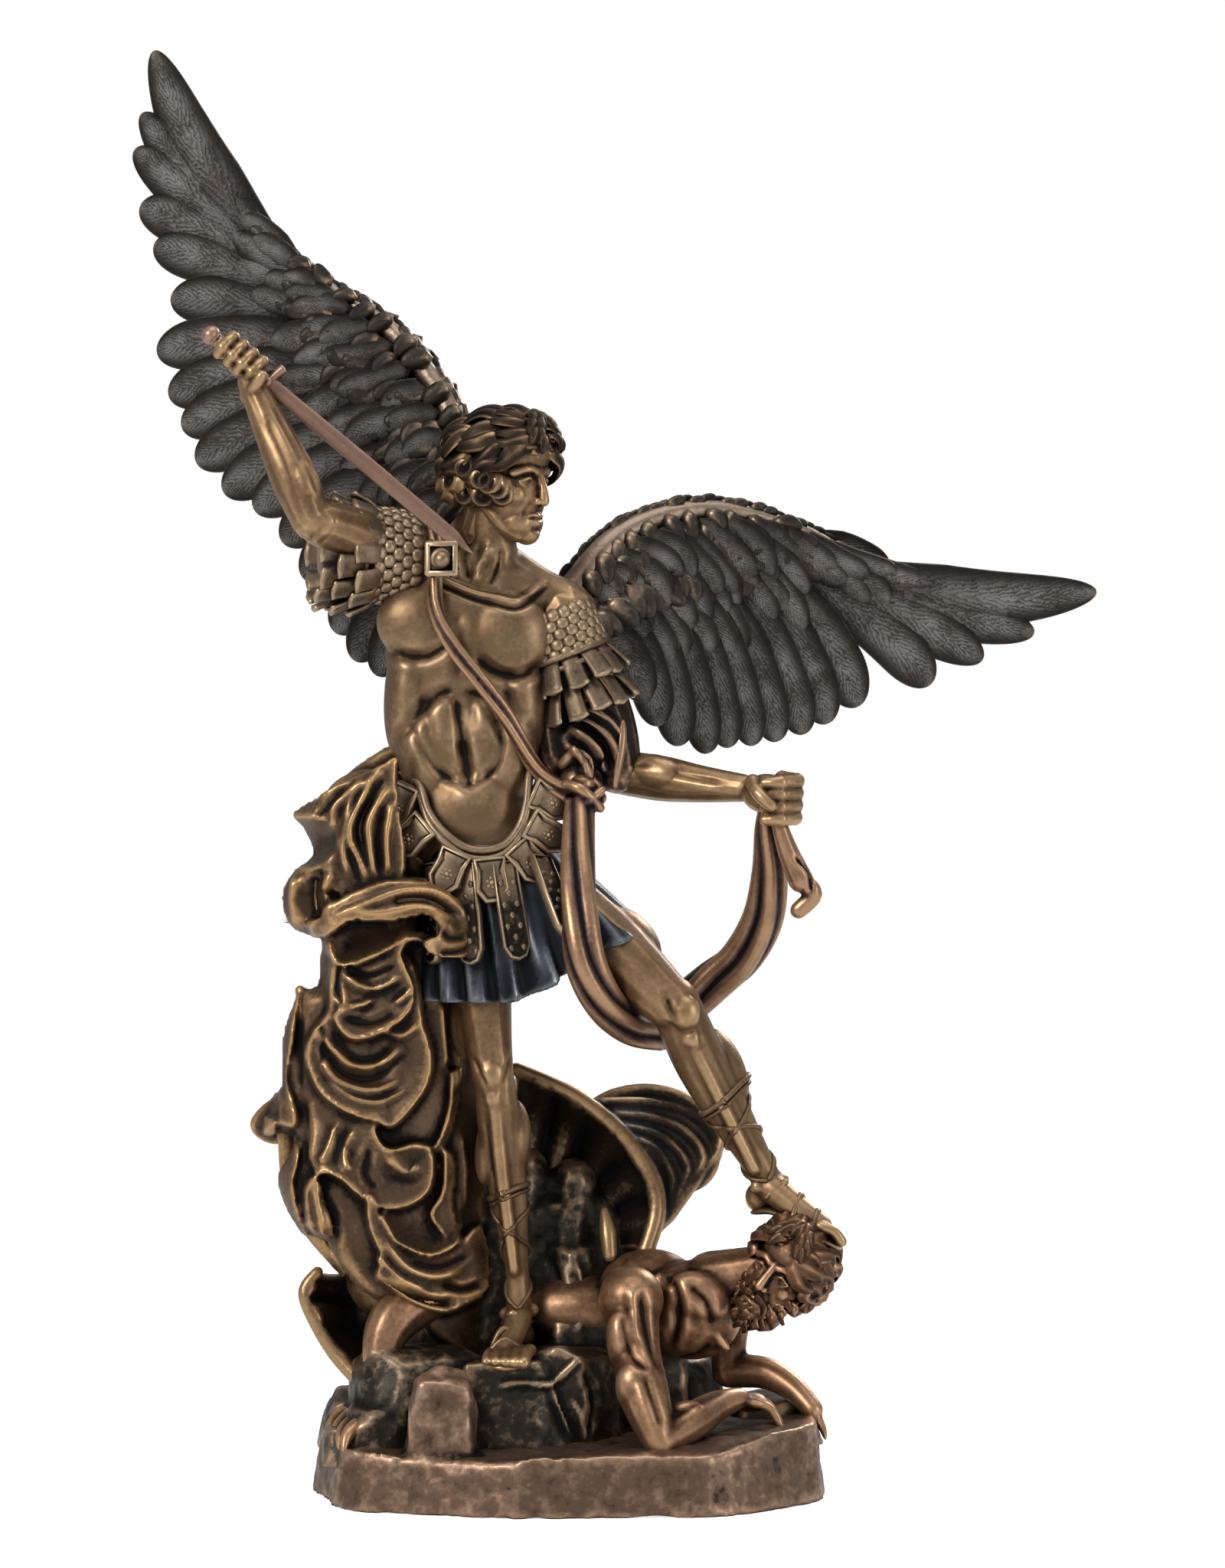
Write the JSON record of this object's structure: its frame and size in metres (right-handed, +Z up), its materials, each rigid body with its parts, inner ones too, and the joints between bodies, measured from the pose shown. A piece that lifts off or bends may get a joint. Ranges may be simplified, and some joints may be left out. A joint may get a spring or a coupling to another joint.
{
  "type": "winged archangel statuette",
  "caption": "Bronze-finished statuette of a winged armoured archangel with raised sword, one foot on a fallen demon, cloak trailing behind, on a low oval rock base.",
  "frame": {"origin": "centre of the base's flat underside", "axes": "+X to the viewer's right, -Y towards the viewer, +Z up"},
  "size_m": [0.2524, 0.0989, 0.3695],
  "materials": {
    "bronze": "antique bronze with near-black hollows and rubbed golden high spots",
    "wing_bronze": "dark blue-green patina with rubbed bronze edges",
    "blade_bronze": "smooth rose bronze"
  },
  "bodies": {
    "root": {"figure": "bronze", "wing_right": "wing_bronze", "wing_left": "wing_bronze", "sword": "blade_bronze"}
  },
  "joints": []
}
